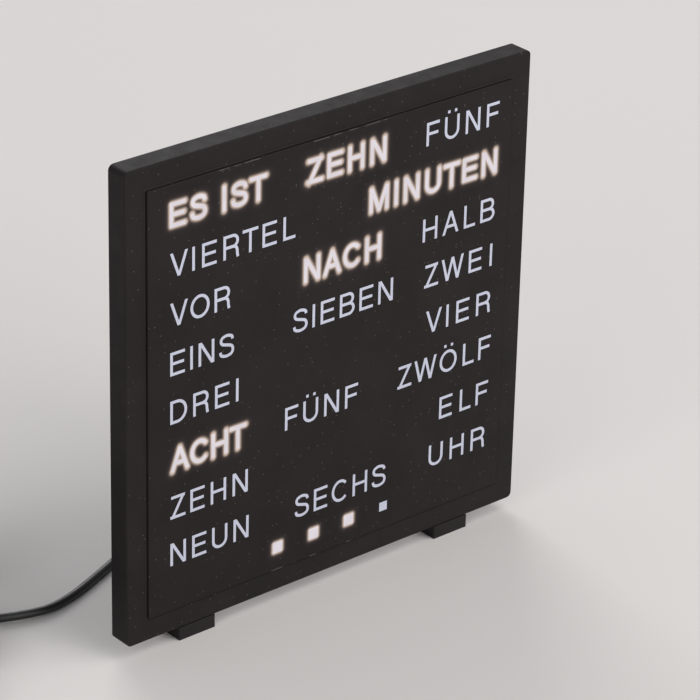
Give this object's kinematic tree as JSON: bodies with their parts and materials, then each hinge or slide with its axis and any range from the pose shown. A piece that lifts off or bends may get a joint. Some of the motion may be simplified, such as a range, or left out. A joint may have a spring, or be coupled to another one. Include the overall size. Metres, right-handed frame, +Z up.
{
  "type": "word clock",
  "caption": "Square table clock that shows the time in lit words on a black face, on two short feet, with a coiled low-voltage lead and plug-in adapter.",
  "frame": {"origin": "on the floor, under the middle of the clock's own box, the lead left out", "axes": "+Z up, the face looks along -Y, +X is the right-hand side of the clock seen from the front"},
  "size_m": [0.234, 0.0899, 0.1698],
  "materials": {
    "frame_black": "fine textured matt black plastic",
    "plate_black": "satin black sheet with pale words",
    "housing_black": "spark-eroded matt black plastic",
    "film_white": "milky diffuser film",
    "grid_white": "matt white moulding",
    "board_green": "glass fibre board with green lacquer",
    "led_white": "diode packages",
    "chip_black": "moulded chip package and switch housings",
    "can_metal": "drawn metal can",
    "screw_steel": "zinc plated steel",
    "contact_metal": "plated contact metal",
    "cell_steel": "stainless cell can",
    "button_black": "satin black plastic",
    "foot_black": "textured matt black plastic",
    "cord_black": "smooth black lead",
    "pin_nickel": "nickel plated"
  },
  "bodies": {
    "clock": {"front_frame": "frame_black", "face_plate": "plate_black", "diffuser_sheet": "film_white", "light_grid": "grid_white", "led_board": "board_green", "word_leds": "led_white", "rear_housing": "housing_black", "case_screws": "screw_steel", "board_screws": "screw_steel", "control_board": "board_green", "clock_chip": "chip_black", "timing_crystal": "can_metal", "capacitors": "can_metal", "board_header": "chip_black", "tact_switches": "chip_black", "dc_jack": "chip_black", "jack_pin": "contact_metal", "backup_cell": "cell_steel", "cell_contact_plus": "contact_metal", "cell_contact_minus": "contact_metal", "foot_left": "foot_black", "foot_right": "foot_black", "plug_barrel": "pin_nickel", "plug_body": "cord_black", "plug_relief": "cord_black", "supply_cord": "cord_black", "supply_cord_coil": "cord_black", "cord_tie": "cord_black", "adapter_relief": "cord_black", "adapter_front_shell": "housing_black", "adapter_rear_shell": "housing_black", "adapter_pins": "pin_nickel"},
    "hour_key": {"hour_plunger": "button_black", "hour_button": "button_black"},
    "minute_key": {"minute_plunger": "button_black", "minute_button": "button_black"},
    "brightness_key": {"brightness_plunger": "button_black", "brightness_button": "button_black"},
    "battery_cap": {"battery_cap": "housing_black"}
  },
  "joints": [
    {"name": "hour_press", "type": "slide", "parent": "clock", "child": "hour_key", "axis": [0, -1, 0], "range_m": [0, 0.0005], "stiffness_N_per_m": 600},
    {"name": "minute_press", "type": "slide", "parent": "clock", "child": "minute_key", "axis": [0, -1, 0], "range_m": [0, 0.0005], "stiffness_N_per_m": 600},
    {"name": "brightness_press", "type": "slide", "parent": "clock", "child": "brightness_key", "axis": [0, -1, 0], "range_m": [0, 0.0005], "stiffness_N_per_m": 600},
    {"name": "cap_turn", "type": "hinge", "parent": "clock", "child": "battery_cap", "pos_m": [0.028, 0.0124, 0.06125], "axis": [0, 1, 0], "range_deg": [0, 45]}
  ]
}
